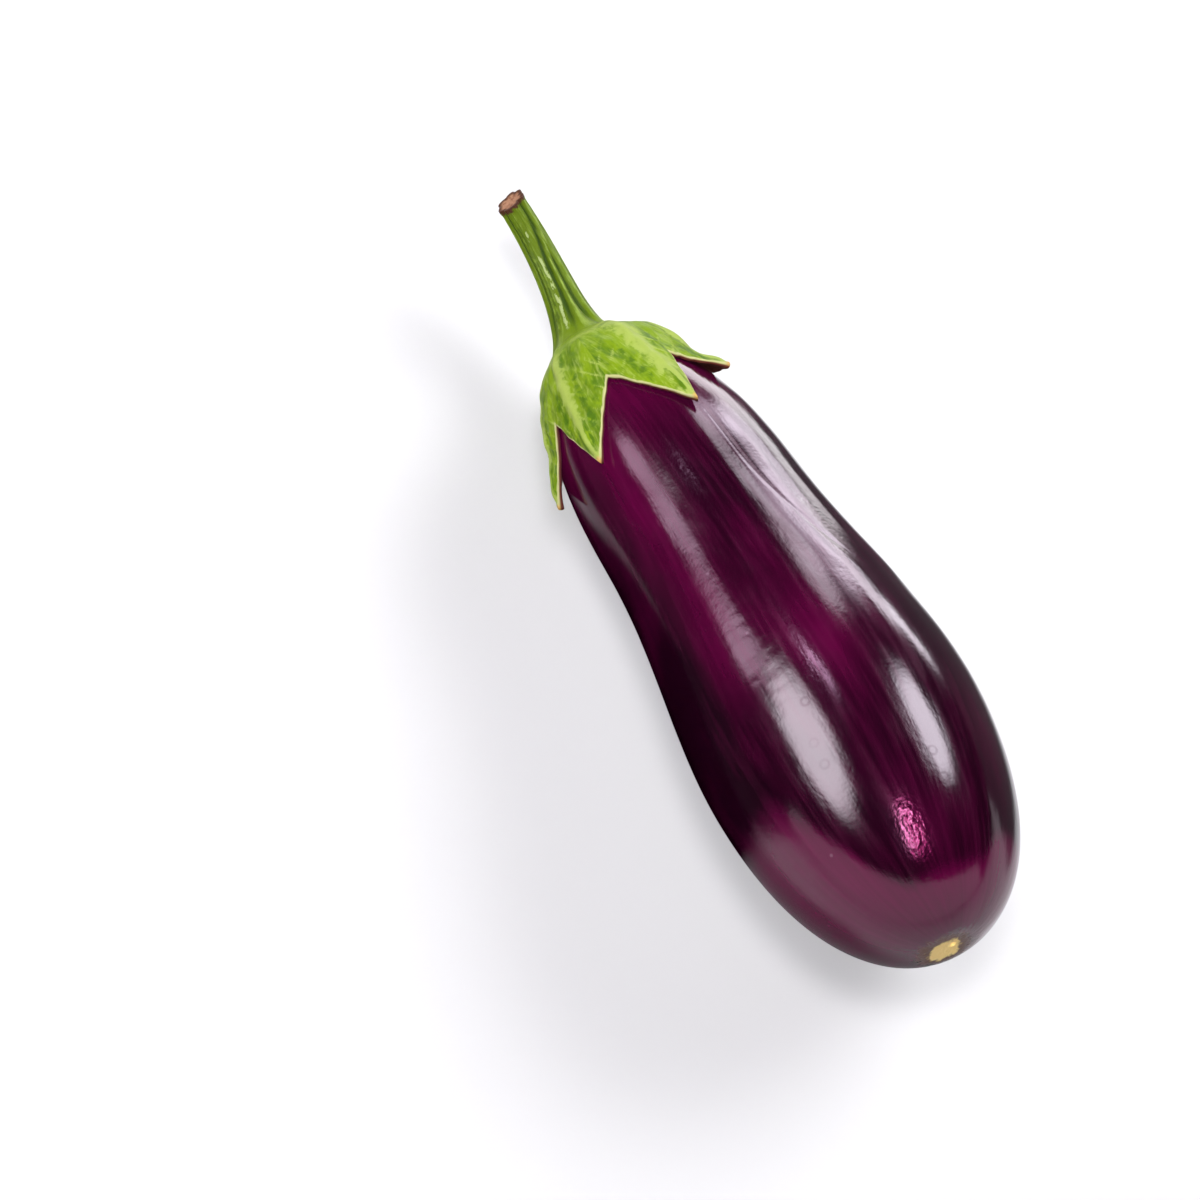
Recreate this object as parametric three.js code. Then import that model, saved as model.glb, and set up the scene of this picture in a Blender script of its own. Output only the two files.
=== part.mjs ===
// A picked eggplant lying on a level surface, in millimetres, +Z up.
// It is made of three pieces: the fruit, the green calyx that caps its stem end,
// and the stem, cut across at its far end.
//
// Every piece is first shaped in the fruit's own frame. There, reach is the distance along +X
// from the fruit's stem end, and turn is the angle round the fruit: 0 on top and growing
// towards +Y. The whole is then tipped and set down, so that the belly and the neck both
// meet the surface at z = 0, with the origin at the middle of the belly's resting spot.

import * as THREE from "three";
import { mergeVertices } from "three/addons/utils/BufferGeometryUtils.js";

// Fruit: a narrow neck that swells into a long belly, domed at both ends
const FRUIT_LENGTH = 225;
const NECK_RADIUS = 31.8;
const BELLY_RADIUS = 41;
const SWELL_START = 54;
const SWELL_END = 172;
const SHOULDER_LENGTH = 73.5;
const SHOULDER_POWER = 2.1;
const SHOULDER_LEAN = 0.06;
const BLOSSOM_START = 133;
const BLOSSOM_BLUNTNESS = 2.87;
const BLOSSOM_POWER = 2.1;
const BEND = 11.7;
const FLUTE_COUNT = 5;
const FLUTE_HEIGHT = 0.3;

// Blossom scar: a shallow dimple in the round end
const SCAR_RADIUS = 9;
const SCAR_DEPTH = 1.1;

// Resting: the tilt at which the neck comes down as the belly rests, and the flattened skin
const REST_TILT = 6 * THREE.MathUtils.DEG2RAD;
const REST_REACH = 136;
const REST_DEPTH = 0.45;

// Calyx: a fleshy cap that ends in pointed lobes. Each lobe lies between two notches,
// and is given by the turn and reach of its tip, how far the tip stands off the skin,
// and the turn and reach of the notch that follows it.
const LOBES = [
  { tipTurn: -86, tipReach: 52, tipLift: 3.5, notchTurn: -65, notchReach: 29 },
  { tipTurn: -45, tipReach: 56, tipLift: 1, notchTurn: -17, notchReach: 30.5 },
  { tipTurn: 14.5, tipReach: 53, tipLift: 1.2, notchTurn: 28, notchReach: 28.5 },
  { tipTurn: 52, tipReach: 39, tipLift: 3.6, notchTurn: 78, notchReach: 27 },
  { tipTurn: 103, tipReach: 51, tipLift: 2, notchTurn: 127, notchReach: 28.5 },
  { tipTurn: 146, tipReach: 49, tipLift: 0.3, notchTurn: 181, notchReach: 22 },
  { tipTurn: 216, tipReach: 50, tipLift: 0.3, notchTurn: 243, notchReach: 29 },
];
const JOIN_GAP = 0.3;
const MARGIN_THICKNESS = 1;
const LEAF_THICKNESS = 1.6;
const CROWN_THICKNESS = 1.6;
const CROWN_SPREAD = 8;
const SHOULDER_THICKNESS = 2.2;
const SHOULDER_REACH = 12;
const SHOULDER_SPREAD = 10;
const SHOULDER_TURN = 55;
const MARGIN_SPREAD = 3.5;
const RIB_HEIGHT = 0.8;
const RIB_HALF_WIDTH = 1.7;
const RIB_RISE = 8;
const LOBE_SHARPNESS = 1.15;

// Stem: a ribbed stalk that flares into the calyx, curves up and ends in a slanting cut
const STEM_ARM = 26.5;
const STEM_FOOT_DIRECTION = new THREE.Vector3(-0.985, 0.13, 0.098).normalize();
const STEM_END_DIRECTION = new THREE.Vector3(-0.76, -0.24, 0.605).normalize();
const CUT_NORMAL = new THREE.Vector3(-0.486, -0.39, 0.782).normalize();
const STEM_END_RADIUS = 4.1;
const STEM_TAPER = 1;
const STEM_FLARE = 4.7;
const STEM_FLARE_LENGTH = 10;
const STEM_RIB_HEIGHT = 0.3;
const FOOT_REACH = 1.9;
const FOOT_BLEND_LENGTH = 4;
const CUT_RIM_HEIGHT = 0.35;
const CUT_RIM_START = 0.95;
const CUT_SLANT_START = 0.8;
const CUT_HOLLOW = 0.4;

// How finely each skin is divided
const FRUIT_COLUMNS = 64;
const FRUIT_ROWS = 46;
const HALF_LOBES = 2 * LOBES.length;
const CALYX_COLUMNS = 6 * HALF_LOBES;
const CALYX_OUTER_ROWS = 13;
const CALYX_INNER_ROWS = 7;
const STEM_COLUMNS = 2 * HALF_LOBES;
const STEM_FACE_ROWS = 3;
const STEM_SIDE_ROWS = 17;
const STEM_UNDER_ROWS = 3;
const STEM_ROW_CROWDING = 1.3;
const SMALL_STEP = 0.05;
const SMALL_TURN = 0.001;

const radians = THREE.MathUtils.degToRad;
const { clamp, lerp } = THREE.MathUtils;

// Rises from 0 to 1 with no jump in slope or curvature.
function ease(x) {
  const t = clamp(x, 0, 1);
  return t * t * t * (10 - 15 * t + 6 * t * t);
}

// The fruit's radius at a reach: neck to belly, times a dome at each end.
function fruitRadius(reach) {
  const swell = ease((reach - SWELL_START) / (SWELL_END - SWELL_START));
  const body = lerp(NECK_RADIUS, BELLY_RADIUS, swell);
  const fromNeck = clamp(1 - reach / SHOULDER_LENGTH, 0, 1);
  const shoulder = (1 - fromNeck ** SHOULDER_POWER) ** (1 / SHOULDER_POWER);
  const intoEnd = clamp((reach - BLOSSOM_START) / (FRUIT_LENGTH - BLOSSOM_START), 0, 1);
  const blossom = (1 - intoEnd ** BLOSSOM_BLUNTNESS) ** (1 / BLOSSOM_POWER);
  return body * shoulder * blossom;
}

// How far the centre line bends aside, a parabola from the belly to the stem end.
function bendAside(reach) {
  const t = Math.max(SWELL_END - reach, 0) / SWELL_END;
  return -BEND * t * t;
}

// A point of the fruit's round skin, with its faint lengthwise flutes. Towards the stem end
// the skin leans, so that one shoulder stands higher than the other.
function roundSkin(reach, turn) {
  const along = clamp(reach / FRUIT_LENGTH, 0, 1);
  const flute = -FLUTE_HEIGHT * Math.sin(Math.PI * along) * Math.cos(FLUTE_COUNT * turn);
  const smooth = fruitRadius(reach);
  const radius = smooth + flute * Math.min(1, smooth / NECK_RADIUS);
  const aside = radius * Math.sin(turn);
  const lean = SHOULDER_LEAN * clamp(1 - reach / SHOULDER_LENGTH, 0, 1) ** 2;
  return new THREE.Vector3(
    reach - lean * aside,
    bendAside(reach) + aside,
    radius * Math.cos(turn),
  );
}

// The skin's outward normal, from two short steps along it.
function skinNormal(reach, turn) {
  if (reach <= 0) {
    return new THREE.Vector3(-1, -SHOULDER_LEAN, 0).normalize();
  }
  const step = Math.min(SMALL_STEP, reach / 2);
  const lengthwise = roundSkin(reach + step, turn).sub(roundSkin(reach - step, turn));
  const crosswise = roundSkin(reach, turn + SMALL_TURN).sub(
    roundSkin(reach, turn - SMALL_TURN),
  );
  return lengthwise.cross(crosswise).normalize();
}

// Where the fruit's frame goes: tipped, then set down so that the resting spot is the origin.
const tipped = new THREE.Matrix4().makeRotationY(-REST_TILT);
const restPoint = new THREE.Vector3(REST_REACH, bendAside(REST_REACH), -fruitRadius(REST_REACH));
const setDown = restPoint.clone().applyMatrix4(tipped).negate();
setDown.z -= REST_DEPTH;
const surfaceUp = new THREE.Vector3(0, 0, 1).applyMatrix4(tipped.clone().invert());

// Skin that would sink into the surface is pressed flat onto it.
function pressFlat(point) {
  const height = point.dot(surfaceUp) + setDown.z;
  return height < 0 ? point.addScaledVector(surfaceUp, -height) : point;
}

// The calyx along one line of turn: u runs once round it, through each notch and tip.
function calyxLine(u) {
  const half = Math.floor(u * HALF_LOBES);
  const within = u * HALF_LOBES - half;
  const lobe = LOBES[Math.floor(half / 2)];
  const towardsTip = half % 2 === 0;
  const before = LOBES.at(Math.floor(half / 2) - 1);
  const firstTurn = half < 2 ? before.notchTurn - 360 : before.notchTurn;
  const notchTurn = towardsTip ? firstTurn : lobe.notchTurn;
  const notchReach = towardsTip ? before.notchReach : lobe.notchReach;
  const tipness = towardsTip ? within : 1 - within;
  return {
    turn: radians(lerp(notchTurn, lobe.tipTurn, tipness)),
    edge: lerp(notchReach, lobe.tipReach, tipness ** LOBE_SHARPNESS),
    fromRib: radians(Math.abs(notchTurn - lobe.tipTurn)) * (1 - tipness),
    tipness,
    notchReach,
    lobe,
  };
}

// How far the calyx's underside stands off the skin.
function calyxUnder(line, reach) {
  const out = ease((reach - line.notchReach) / (line.lobe.tipReach - line.notchReach));
  return JOIN_GAP + line.lobe.tipLift * out * line.tipness;
}

// The calyx's thickness: fleshy round the stem and most of all on one shoulder, thin at the
// margin, with a rib down each lobe.
function calyxThickness(line, reach) {
  const middle = CROWN_THICKNESS * Math.exp(-((reach / CROWN_SPREAD) ** 2));
  const bulge = Math.exp(-(((reach - SHOULDER_REACH) / SHOULDER_SPREAD) ** 2));
  const oneSided = (1 + Math.cos(line.turn - radians(SHOULDER_TURN))) / 2;
  const shoulder = SHOULDER_THICKNESS * bulge * oneSided * ease(reach / SHOULDER_REACH);
  const body = LEAF_THICKNESS + middle + shoulder;
  const fromMargin = 1 - Math.exp(-(line.edge - reach) / MARGIN_SPREAD);
  const across = (line.fromRib * fruitRadius(reach)) / RIB_HALF_WIDTH;
  const rib = RIB_HEIGHT * Math.exp(-across * across) * ease(reach / RIB_RISE);
  return MARGIN_THICKNESS + (body - MARGIN_THICKNESS + rib) * fromMargin;
}

// A point of the calyx at a share of its thickness: 0 on the underside, 1 on the outside.
function calyxPoint(line, reach, share) {
  const offset = calyxUnder(line, reach) + share * calyxThickness(line, reach);
  return roundSkin(reach, line.turn).addScaledVector(skinNormal(reach, line.turn), offset);
}

// A closed skin over a grid of columns and rows, with a pole at each end of the columns.
// place gives the point at u, the share of the way round, and row, counted from the first pole.
function closedSkin(columns, rows, place) {
  const geometry = new THREE.SphereGeometry(1, columns, rows);
  const uv = geometry.getAttribute("uv");
  const position = geometry.getAttribute("position");
  for (let i = 0; i < position.count; i += 1) {
    const row = Math.round((1 - uv.getY(i)) * rows);
    const atPole = row === 0 || row === rows;
    const point = place(atPole ? 0 : uv.getX(i) % 1, row);
    position.setXYZ(i, point.x, point.y, point.z);
  }
  geometry.deleteAttribute("normal");
  geometry.deleteAttribute("uv");
  const closed = mergeVertices(geometry);
  closed.computeVertexNormals();
  return closed;
}

// Fruit: rows close up towards both ends, and the round end dips into the blossom scar.
function fruitGeometry() {
  return closedSkin(FRUIT_COLUMNS, FRUIT_ROWS, (u, row) => {
    const reach = (FRUIT_LENGTH * (1 - Math.cos((Math.PI * row) / FRUIT_ROWS))) / 2;
    const point = roundSkin(reach, 2 * Math.PI * u);
    if (reach > BLOSSOM_START) {
      const fromScar = Math.min(fruitRadius(reach) / SCAR_RADIUS, 1);
      point.x -= SCAR_DEPTH * (1 - fromScar * fromScar) ** 2;
    }
    return pressFlat(point);
  });
}

// Calyx: out over its outside to the margin, then back along its underside.
function calyxGeometry() {
  const rows = CALYX_OUTER_ROWS + 1 + CALYX_INNER_ROWS;
  return closedSkin(CALYX_COLUMNS, rows, (u, row) => {
    const line = calyxLine(u);
    const outside = row <= CALYX_OUTER_ROWS;
    const outward = outside ? row / CALYX_OUTER_ROWS : (rows - row) / CALYX_INNER_ROWS;
    return calyxPoint(line, line.edge * outward ** SHOULDER_POWER, outside ? 1 : 0);
  });
}

// The stem's centre line, from the middle of the calyx to the middle of the cut.
const crown = calyxPoint(calyxLine(0), 0, 1);
const elbow = crown.clone().addScaledVector(STEM_FOOT_DIRECTION, STEM_ARM);
const cutMiddle = elbow.clone().addScaledVector(STEM_END_DIRECTION, STEM_ARM);
const stemPath = new THREE.QuadraticBezierCurve3(crown, elbow, cutMiddle);
const stemLength = stemPath.getLength();

function stemRadius(along, line) {
  const taper = STEM_TAPER * (1 - along);
  const flare = STEM_FLARE * Math.exp((-along * stemLength) / STEM_FLARE_LENGTH);
  const rim = CUT_RIM_HEIGHT * ease((along - CUT_RIM_START) / (1 - CUT_RIM_START));
  const rib = STEM_RIB_HEIGHT * (2 * ease(line.tipness) - 1);
  return STEM_END_RADIUS + taper + flare + rim + rib;
}

// A point of the stem at a share of its length and of its radius. Near the far end the
// sections lean over until the last one lies in the plane of the cut.
function stemSection(along, line, share) {
  const middle = stemPath.getPointAt(along);
  const direction = stemPath.getTangentAt(along);
  const side = new THREE.Vector3(0, 1, 0).addScaledVector(direction, -direction.y).normalize();
  const up = new THREE.Vector3().crossVectors(side, direction);
  const arm = side.multiplyScalar(Math.sin(line.turn)).addScaledVector(up, Math.cos(line.turn));
  arm.multiplyScalar(share * stemRadius(along, line));
  const slant = ease((along - CUT_SLANT_START) / (1 - CUT_SLANT_START));
  const lean = (-slant * arm.dot(CUT_NORMAL)) / direction.dot(CUT_NORMAL);
  return middle.add(arm).addScaledVector(direction, lean);
}

// The underside of the foot, which follows the calyx a small gap above it.
function stemUnder(line, reach) {
  const clear = calyxUnder(line, reach) + calyxThickness(line, reach) + JOIN_GAP;
  return roundSkin(reach, line.turn).addScaledVector(skinNormal(reach, line.turn), clear);
}

// Stem: the hollowed face of the cut, the ribbed side down to the foot, and the underside.
function stemGeometry() {
  const sideEnd = STEM_FACE_ROWS + STEM_SIDE_ROWS;
  const rows = sideEnd + STEM_UNDER_ROWS;
  return closedSkin(STEM_COLUMNS, rows, (u, row) => {
    const line = calyxLine(u);
    if (row <= STEM_FACE_ROWS) {
      const share = row / STEM_FACE_ROWS;
      const point = stemSection(1, line, share);
      return point.addScaledVector(CUT_NORMAL, -CUT_HOLLOW * (1 - share * share));
    }
    if (row < sideEnd) {
      const along = ((sideEnd - row) / STEM_SIDE_ROWS) ** STEM_ROW_CROWDING;
      const nearFoot = Math.exp((-along * stemLength) / FOOT_BLEND_LENGTH);
      const settle = stemUnder(line, FOOT_REACH).sub(stemSection(0, line, 1));
      return stemSection(along, line, 1).addScaledVector(settle, nearFoot);
    }
    const inward = (rows - row) / STEM_UNDER_ROWS;
    return stemUnder(line, FOOT_REACH * inward ** SHOULDER_POWER);
  });
}

function piece(name, geometry, color, roughness) {
  const material = new THREE.MeshStandardMaterial({ color, roughness, metalness: 0 });
  const mesh = new THREE.Mesh(geometry, material);
  mesh.name = name;
  return mesh;
}

const eggplant = new THREE.Group();
eggplant.rotation.y = -REST_TILT;
eggplant.position.copy(setDown);
eggplant.add(
  piece("fruit", fruitGeometry(), "#3a0a2c", 0.16),
  piece("calyx", calyxGeometry(), "#86ad35", 0.55),
  piece("stem", stemGeometry(), "#6f9132", 0.6),
);

export default eggplant;
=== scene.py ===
"""A glossy eggplant lying on a pale surface: its fruit, calyx and stem, in metres.

Every piece is first shaped in the fruit's own frame. There, reach is the distance along +X
from the fruit's stem end, and turn is the angle round the fruit, 0 on top and growing
towards +Y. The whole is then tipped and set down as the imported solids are.
"""

import math
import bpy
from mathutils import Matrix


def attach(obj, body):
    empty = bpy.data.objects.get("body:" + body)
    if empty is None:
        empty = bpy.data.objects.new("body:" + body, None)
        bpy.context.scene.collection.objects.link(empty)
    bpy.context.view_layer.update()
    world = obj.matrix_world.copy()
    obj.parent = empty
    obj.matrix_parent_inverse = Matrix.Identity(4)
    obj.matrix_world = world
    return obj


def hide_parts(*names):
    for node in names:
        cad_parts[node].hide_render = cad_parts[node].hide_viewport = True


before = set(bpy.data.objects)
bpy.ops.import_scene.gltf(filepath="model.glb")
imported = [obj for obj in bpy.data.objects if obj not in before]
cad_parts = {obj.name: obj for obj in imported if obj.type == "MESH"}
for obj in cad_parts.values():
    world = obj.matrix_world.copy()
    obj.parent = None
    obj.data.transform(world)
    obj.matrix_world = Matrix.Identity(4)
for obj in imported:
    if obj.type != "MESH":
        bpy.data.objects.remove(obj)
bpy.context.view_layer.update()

from types import SimpleNamespace

import bpy
import numpy as np
from bpy.props import FloatProperty, FloatVectorProperty, IntProperty, PointerProperty
from mathutils import Quaternion, Vector

bl_info = {
    "name": "Eggplant",
    "version": (1, 0, 0),
    "blender": (4, 5, 0),
    "location": "3D View > Sidebar > Eggplant",
    "description": "A glossy eggplant with its calyx and stem, on a pale surface",
    "category": "Add Mesh",
}

MM = 0.001

# Fruit: a narrow neck that swells into a long belly, domed at both ends
SWELL_START = 54 * MM
SWELL_END = 172 * MM
SHOULDER_LENGTH = 73.5 * MM
SHOULDER_POWER = 2.1
SHOULDER_LEAN = 0.06
BLOSSOM_START = 133 * MM
BLOSSOM_BLUNTNESS = 2.87
BLOSSOM_POWER = 2.1
FLUTE_COUNT = 5

# Blossom scar: its dent, and its dry middle, which lies a little off the fruit's end
SCAR_RADIUS = 9 * MM
SCAR_DEPTH = 1.1 * MM
SCAR_ASIDE = 2.4 * MM
SCAR_BELOW = 1.4 * MM
SCAR_CORE = 1.2 * MM
SCAR_FADE = 14 * MM

# Crease on the neck, which turns aside along a parabola, and a ridge on either side of it:
# height, distance from the crease and half width
CREASE_DEPTH = 0.13 * MM
CREASE_TURN = math.radians(18)
CREASE_SWERVE = math.radians(17.6)
CREASE_SWERVE_START = 65 * MM
CREASE_SWERVE_LENGTH = 56 * MM
NECK_RIDGES = ((0.5 * MM, 16 * MM, 8 * MM), (0.15 * MM, -6 * MM, 4 * MM))

# Where the relief fades at the fruit's ends, and the crosswise wrinkles at the waist
RELIEF_FADE_RADIUS = 12 * MM
WRINKLE_HEIGHT = 0.035 * MM
WRINKLE_PITCH = 4.4 * MM

# Waves of unevenness: height, seed, how many, fewest and most turns round, greatest pitch
BROAD_WAVES = (0.09 * MM, 3, 14, 3, 9, 9.0)
STREAK_WAVES = (0.012 * MM, 8, 30, 24, 60, 30.0)
WRINKLE_WAVES = (2.5, 5, 10, 4, 14, 60.0)
PUCKER_WAVES = (0.23 * MM, 11, 26, 8, 40, 0.8 / MM)
MARGIN_WAVES = (0.35 * MM, 21, 12, 9, 60, 0.0)
STEM_WAVES = (0.16, 31, 16, 11, 34, 5.0)
CUT_WAVES = (0.1 * MM, 41, 14, 3, 16, 9.0)

# Dull rings in the gloss, by reach and turn, the pebbled spot and the skin's grain
RINGS = np.array([(171.5, -25), (178, -25.5), (186, 17.5), (193.5, 18.5), (143.5, -25), (160, -20)])
RING_RADIUS = 1.2 * MM
RING_DULLNESS = 0.1
PEBBLE_STRENGTH = 0.9
SKIN_GRAIN = 35 * MM

# Soft patches, wrinkled at the waist and pebbled near the blossom end: reach and half
# length, then turn and half width
WRINKLED = (136 * MM, 24 * MM, math.radians(-27), 7 * MM)
PEBBLED = (203 * MM, 9 * MM, math.radians(-3), 4.5 * MM)

# Resting: the tilt at which the neck comes down as the belly rests, and the flattened skin
REST_TILT = math.radians(6)
REST_REACH = 136 * MM
REST_DEPTH = 0.45 * MM

# Calyx lobes: turn, reach and lift of each tip, then turn and reach of the notch after it
LOBES = np.array(
    [
        (-86, 52, 3.5, -65, 29),
        (-45, 56, 1, -17, 30.5),
        (14.5, 53, 1.2, 28, 28.5),
        (52, 39, 3.6, 78, 27),
        (103, 51, 2, 127, 28.5),
        (146, 49, 0.3, 181, 22),
        (216, 50, 0.3, 243, 29),
    ]
)
CALYX_GAP = 0.3 * MM
CROWN_THICKNESS = 1.6 * MM
CROWN_SPREAD = 8 * MM
SHOULDER_THICKNESS = 2.2 * MM
SHOULDER_REACH = 12 * MM
SHOULDER_SPREAD = 10 * MM
SHOULDER_TURN = math.radians(55)
MARGIN_SPREAD = 3.5 * MM
RIB_HALF_WIDTH = 1.7 * MM
RIB_RISE = 8 * MM
LOBE_SHARPNESS = 1.15

# Calyx relief and markings: side veins, and the pale middle of each lobe, partly painted highlight
VEIN_PITCH = 5.5 * MM
VEIN_SLANT = 1.3
VEIN_SHIFT = 0.37
VEIN_HEIGHT = 0.3 * MM
VEIN_HALF_WIDTH = 0.45 * MM
PALE_HALF_WIDTH = 1.9 * MM
BROAD_LOBE = 2
BROAD_LOBE_EXTRA = 1.0 * MM

# Stem: a ribbed stalk that flares into the calyx, curves up and ends in a slanting cut
STEM_ARM = 26.5 * MM
STEM_FOOT_DIRECTION = np.array((-0.985, 0.13, 0.098))
STEM_END_DIRECTION = np.array((-0.76, -0.24, 0.605))
CUT_NORMAL = np.array((-0.486, -0.39, 0.782))
STEM_TAPER = 1 * MM
STEM_FLARE_LENGTH = 10 * MM
FILLET_WIDTH = 2.2 * MM
FILLET_LENGTH = 2 * MM
FOOT_REACH = 4 * MM
FOOT_BLEND_LENGTH = 7 * MM
FOOT_SINK = 0.12 * MM
STEM_GRAIN = 5 * MM
CUT_RIM_HEIGHT = 0.35 * MM
CUT_RIM_START = 0.95
CUT_SLANT_START = 0.8
CUT_HOLLOW = 0.5 * MM

# Depths of the stem's grooves over the notches, as shares of the rib height
GROOVE_DEPTHS = np.array((0.3, 0.1, 1.3, 1.0, 0.4, 0.5, 0.3))

# How finely each skin is divided
FRUIT_COLUMNS = 400
FRUIT_ROWS = 240
CALYX_COLUMNS = 448
CALYX_OUTER_ROWS = 120
CALYX_RIM_ROWS = 8
CALYX_INNER_ROWS = 40
STEM_COLUMNS = 224
STEM_FACE_ROWS = 24
STEM_SIDE_ROWS = 190
STEM_UNDER_ROWS = 4
FLOOR_COLUMNS = 96
SMALL_STEP = 0.05 * MM
SMALL_TURN = 0.001
TINY = 1e-9

# Colours of small markings
PORE_COLOR = (0.4, 0.25, 0.35)
SCAR_BORDER_COLOR = (0.09, 0.028, 0.012)
DARK_GREEN = (0.035, 0.085, 0.002)
TIP_COLOR = (0.34, 0.21, 0.06)
# Painted shade under the calyx margins
MARGIN_SHADE_COLOR = (0.07, 0.018, 0.012)
# Painted highlight on the stem's crests
CREST_HIGHLIGHT_COLOR = (0.17, 0.24, 0.04)
DASH_COLOR = (0.24, 0.29, 0.12)
CUT_RIM_COLOR = (0.045, 0.017, 0.009)
PITH_COLOR = (0.15, 0.06, 0.035)
BLACK = (0.0, 0.0, 0.0)

# Sockets of a node that mixes colours
MIX_SHARE, MIX_FIRST, MIX_SECOND, MIX_RESULT = 0, 6, 7, 2

# View: the camera's direction, and the point of the surface that it looks at
VIEW_AZIMUTH = 66.86
VIEW_ELEVATION = 62
VIEW_AIM = Vector((-0.07233, -0.03503, 0.0))
VIEW_DISTANCE = 0.99

# Soft lights: azimuth and elevation, distance, width, height and roll, brightness, colour and
# kind. Matte ones light the surfaces, and gloss ones show only as reflections in the skin.
SOFT_LIGHTS = {
    "left_softbox": (-20, 54, 1.3, 1.3, 1.2, 0, 12.7, (1.0, 0.985, 1.0), "shadowless"),
    "top_softbox": (67, 80, 1.3, 0.5, 0.5, 0, 28.0, (1.0, 0.985, 1.0), "matte"),
    "right_softbox": (-175, 38, 1.3, 1.3, 0.66, 0, 18.5, (0.985, 0.985, 1.0), "matte"),
    "belly_left": (-24, 53, 1.3, 1.4, 0.94, 2, 12.6, (0.99, 0.9, 1.0), "gloss"),
    "belly_right": (-169, 40, 1.3, 0.9, 0.68, -12, 14.5, (0.97, 0.88, 1.0), "gloss"),
    "waist_streak": (-149, 3.5, 1.3, 0.7, 0.26, 30, 10.5, (0.98, 0.9, 1.0), "gloss"),
    "neck_streak": (-137, 2, 1.3, 1.1, 0.26, 79, 7.0, (0.96, 0.88, 1.0), "gloss"),
    "neck_band": (-129.5, 17.5, 1.3, 0.76, 0.26, 50, 5.2, (0.98, 0.82, 1.0), "gloss"),
    "neck_edge": (-123, 30, 1.3, 0.4, 0.27, 60, 6.0, (1.0, 0.88, 1.0), "gloss"),
    "small_spot": (-88, 57, 1.3, 0.5, 0.1, 92, 14.0, (1.0, 0.6, 0.92), "gloss"),
    "neck_glow": (-48, 28.5, 1.3, 0.6, 0.34, 129, 5.2, (1.0, 0.72, 0.93), "gloss"),
    "pink_glint": (97, 64, 1.3, 0.8, 0.28, 75, 15.0, (1.0, 0.06, 0.4), "gloss"),
    "pink_core": (93, 66, 1.3, 0.62, 0.1, 72, 44.0, (1.0, 0.42, 0.75), "gloss"),
    "front_card": (67, 16, 0.85, 5.0, 0.62, 0, 0.95, (1.0, 0.95, 1.0), "card"),
}
LIGHTS_AIM = Vector((-0.05, 0.0, 0.04))
LIGHT_FADE_START = 0.5
CARD_FADE_START = 0.8

# Parts of the surface that look darker, or brighter, in the skin's gloss only: an amount, then
# edges, each a level direction and the distances along it where the part starts and is full
GLOSS_SHADES = (
    (0.97, ((0, -1, -0.02, 0.04), (-1, 0, -0.03, -0.005))),
    (0.75, ((0, 1, -0.13, -0.075), (0, -1, -0.03, 0.0), (-1, 0, -0.13, -0.085))),
    (0.9, ((-0.18, 0.98, 0.062, 0.085), (-1, 0, -0.11, -0.08))),
)
GLOSS_GLOWS = (
    (5.0, ((-0.71, 0.71, 0.2, 0.26), (-1, 0, 0.08, 0.13), (-0.74, -0.673, -0.004, 0.008))),
    (0.6, ((-0.6, -0.8, 0.1, 0.115), (0.6, 0.8, -0.16, -0.135), (-1, 0, 0.09, 0.108))),
)
GLOW_COLOR = (1.0, 0.97, 1.0)
BACKDROP_IN_GLOSS = 0.015


def a_length(name, description, default, **limits):
    """A length that the user may change, with its limits where it has any."""
    return FloatProperty(name=name, description=description, default=default, unit="LENGTH", **limits)


def a_color(name, description, default):
    """A colour that the user may change: red, green and blue, each from 0 to 1."""
    return FloatVectorProperty(
        name=name, description=description, default=default, size=3, min=0, max=1, subtype="COLOR"
    )


class EggplantFruit(bpy.types.PropertyGroup):
    """Sizes and colours of the fruit."""

    length: a_length("Length", "Length of the fruit without its stem", 225 * MM, min=50 * MM)
    neck_radius: a_length("Neck radius", "Radius of the neck, below the calyx", 31.8 * MM, min=5 * MM)
    belly_radius: a_length("Belly radius", "Radius of the belly at its fullest", 41 * MM, min=5 * MM)
    bend: a_length("Bend", "How far the stem end bends aside", 11.7 * MM)
    flute_height: a_length("Flute height", "Height of the faint lengthwise flutes", 0.3 * MM, min=0)
    deep_color: a_color("Deep purple", "Colour of the skin where it is darkest", (0.007, 0.0002, 0.0035))
    bright_color: a_color("Bright purple", "Colour of the skin where it is reddest", (0.115, 0.001, 0.042))
    scar_color: a_color("Scar", "Colour of the dry blossom scar", (0.95, 0.68, 0.22))


class EggplantCalyx(bpy.types.PropertyGroup):
    """Sizes and colours of the calyx."""

    leaf_thickness: a_length(
        "Leaf thickness", "Thickness of a lobe between its ribs", 1.6 * MM, min=0.3 * MM
    )
    margin_thickness: a_length(
        "Margin thickness", "Thickness of a lobe at its margin", 1.0 * MM, min=0.3 * MM
    )
    rib_height: a_length("Rib height", "Height of the rib down the middle of each lobe", 0.8 * MM, min=0)
    leaf_color: a_color("Leaf", "Colour of the fresh green between the veins", (0.12, 0.19, 0.003))
    vein_color: a_color("Veins", "Colour of the veins and pale patches", (0.23, 0.29, 0.06))
    margin_color: a_color("Margins", "Colour of the pale margins", (0.3, 0.3, 0.13))


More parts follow.
